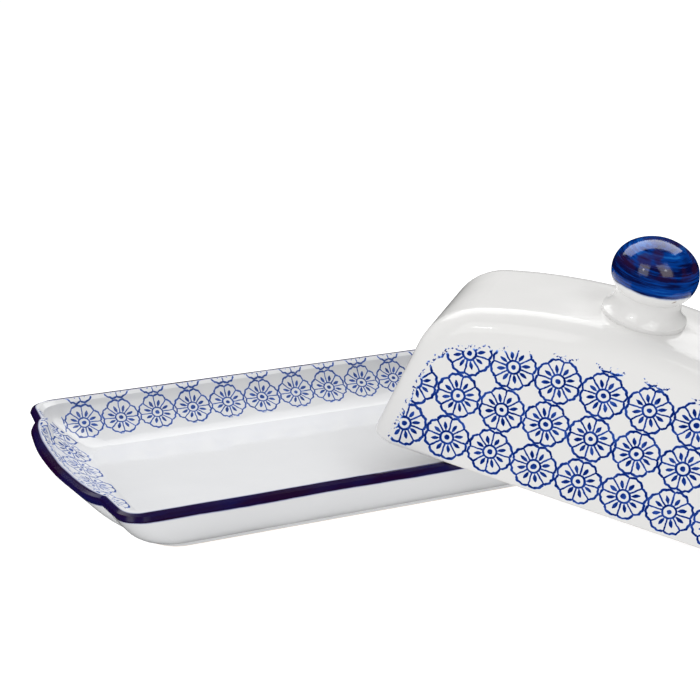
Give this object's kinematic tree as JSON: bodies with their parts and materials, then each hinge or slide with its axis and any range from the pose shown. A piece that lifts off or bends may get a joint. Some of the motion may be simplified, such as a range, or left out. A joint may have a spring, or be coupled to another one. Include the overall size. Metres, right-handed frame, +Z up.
{
  "type": "butter dish",
  "caption": "Butter dish: shallow flared tray with lobed ends, and a loaf-shaped cover with a ball knob leaning on its rim.",
  "frame": {"origin": "centre of the tray's foot ring, in the plane of the table", "axes": "+X along the tray's length, towards the end where the cover leans; +Y across it, away from the side where the cover leans; +Z up"},
  "size_m": [0.2497, 0.1979, 0.099],
  "materials": {
    "tray_glaze": "white glaze, cobalt rim and stamped rosettes inside the wall",
    "cover_glaze": "white glaze, cobalt rosettes on the long sides",
    "knob_glaze": "brushed cobalt ball on a white neck, under clear glaze"
  },
  "bodies": {
    "tray": {"tray": "tray_glaze"},
    "cover": {"cover_shell": "cover_glaze", "cover_knob": "knob_glaze"}
  },
  "joints": [
    {"name": "cover_lift", "type": "slide", "parent": "tray", "child": "cover", "axis": [0, 0, 1], "range_m": [0, 0.12]}
  ]
}
